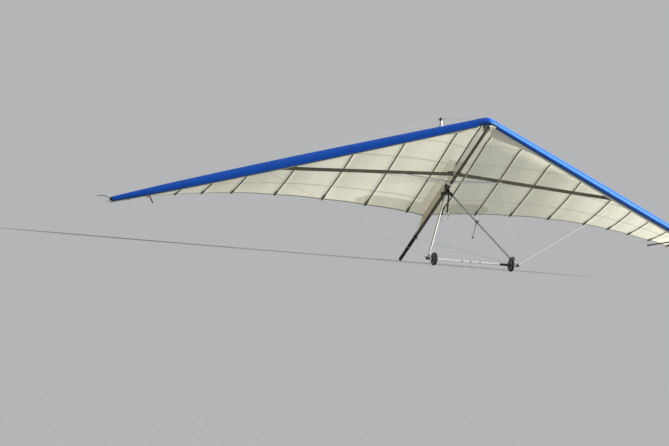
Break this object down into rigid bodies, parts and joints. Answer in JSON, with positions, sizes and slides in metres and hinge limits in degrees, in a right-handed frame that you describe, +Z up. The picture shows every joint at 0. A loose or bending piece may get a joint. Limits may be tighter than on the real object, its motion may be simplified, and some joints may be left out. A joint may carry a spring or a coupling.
{
  "type": "hang glider",
  "caption": "Two-place flexible-wing hang glider, parked nose up on its base bar wheels and the end of its keel.",
  "frame": {"origin": "centre of the bounding box, on the floor that the wheels and the keel's end stand on", "axes": "+X along the span to the pilot's left, +Y towards the tail, +Z up"},
  "size_m": [11.2742, 3.1986, 2.4639],
  "materials": {
    "sailcloth": "matte woven polyester",
    "pocket": "satin coated polyester",
    "tube": "satin anodised",
    "bright_tube": "satin",
    "fitting": "satin",
    "fitting_dark": "black anodised",
    "grip": "matte",
    "cable": "stranded, coated",
    "webbing": "woven webbing",
    "hub": "matte",
    "tyre": "matte"
  },
  "bodies": {
    "root": {"accessory_arm": "grip", "apex_bracket": "fitting_dark", "base_bar": "bright_tube", "carabiner_backup": "fitting", "carabiner_main": "fitting", "corner_bracket_left": "grip", "corner_bracket_right": "grip", "crossbar_centre_hinge": "fitting", "crossbar_end_bracket_left": "fitting", "crossbar_end_bracket_right": "fitting", "crossbar_left": "tube", "crossbar_right": "tube", "downtube_left": "bright_tube", "downtube_right": "bright_tube", "hang_bracket": "fitting_dark", "hang_loop_backup": "webbing", "hang_loop_main": "webbing", "instrument_pod": "grip", "keel_end_cap": "fitting_dark", "keel_grip": "grip", "keel_pocket": "sailcloth", "keel_rear_bracket": "fitting_dark", "keel_tube": "tube", "kingpost": "bright_tube", "kingpost_base": "fitting_dark", "kingpost_cap": "grip", "leading_edge_pocket_left": "pocket", "leading_edge_pocket_right": "pocket", "leading_edge_tube_left": "tube", "leading_edge_tube_right": "tube", "lower_front_wire_left": "cable", "lower_front_wire_right": "cable", "lower_rear_wire_left": "cable", "lower_rear_wire_right": "cable", "lower_side_wire_left": "cable", "lower_side_wire_right": "cable", "nose_cone": "pocket", "nose_plates": "fitting", "sail_left": "sailcloth", "sail_right": "sailcloth", "tip_wand_left": "fitting_dark", "tip_wand_right": "fitting_dark", "upper_front_wire": "cable", "upper_rear_wire": "cable", "upper_side_wire_left": "cable", "upper_side_wire_right": "cable", "washout_strut_left": "fitting_dark", "washout_strut_right": "fitting_dark", "wheel_collar_inner_left": "grip", "wheel_collar_inner_right": "grip", "wheel_collar_outer_left": "grip", "wheel_collar_outer_right": "grip"},
    "wheel_left": {"wheel_tyre_left": "tyre", "wheel_hub_left": "hub"},
    "wheel_right": {"wheel_tyre_right": "tyre", "wheel_hub_right": "hub"}
  },
  "joints": [
    {"name": "wheel_left_spin", "type": "hinge", "parent": "root", "child": "wheel_left", "pos_m": [0.69, -1.37501, 0.105], "axis": [1, 0, 0], "continuous": true},
    {"name": "wheel_right_spin", "type": "hinge", "parent": "root", "child": "wheel_right", "pos_m": [-0.69, -1.37501, 0.105], "axis": [1, 0, 0], "continuous": true}
  ]
}
